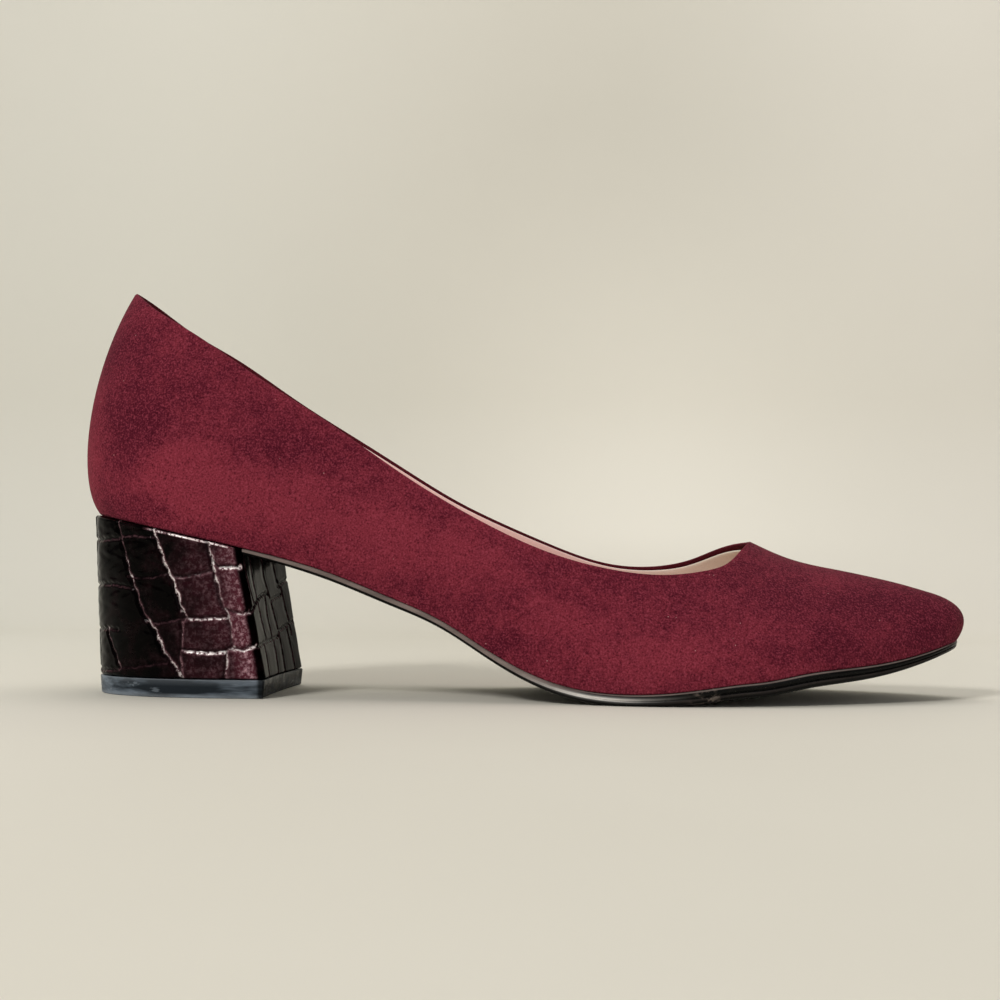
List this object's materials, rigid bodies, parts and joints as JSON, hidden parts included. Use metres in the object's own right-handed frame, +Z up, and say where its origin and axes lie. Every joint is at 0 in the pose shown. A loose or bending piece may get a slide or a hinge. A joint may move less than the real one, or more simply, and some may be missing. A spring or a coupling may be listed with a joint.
{
  "type": "block heel pump",
  "caption": "Right pump with a slim hollow suede upper, open collar and throat, block heel with embossed cover, top lift, insole and outsole.",
  "frame": {"origin": "centre of the bounding box on the floor plane", "axes": "+X from the heel to the toe, +Y towards the inner side of the foot, +Z up"},
  "size_m": [0.2474, 0.076, 0.1143],
  "materials": {
    "suede": "napped suede, wine red",
    "sole": "black, glossy dressed edge",
    "sock": "smooth blush sock lining",
    "heel_cover": "glossy leather embossed in large scales, near-black wine",
    "lift": "black, slightly scuffed"
  },
  "bodies": {
    "root": {"upper": "suede", "outsole": "sole", "insole": "sock", "heel_block": "heel_cover", "top_lift": "lift"}
  },
  "joints": []
}
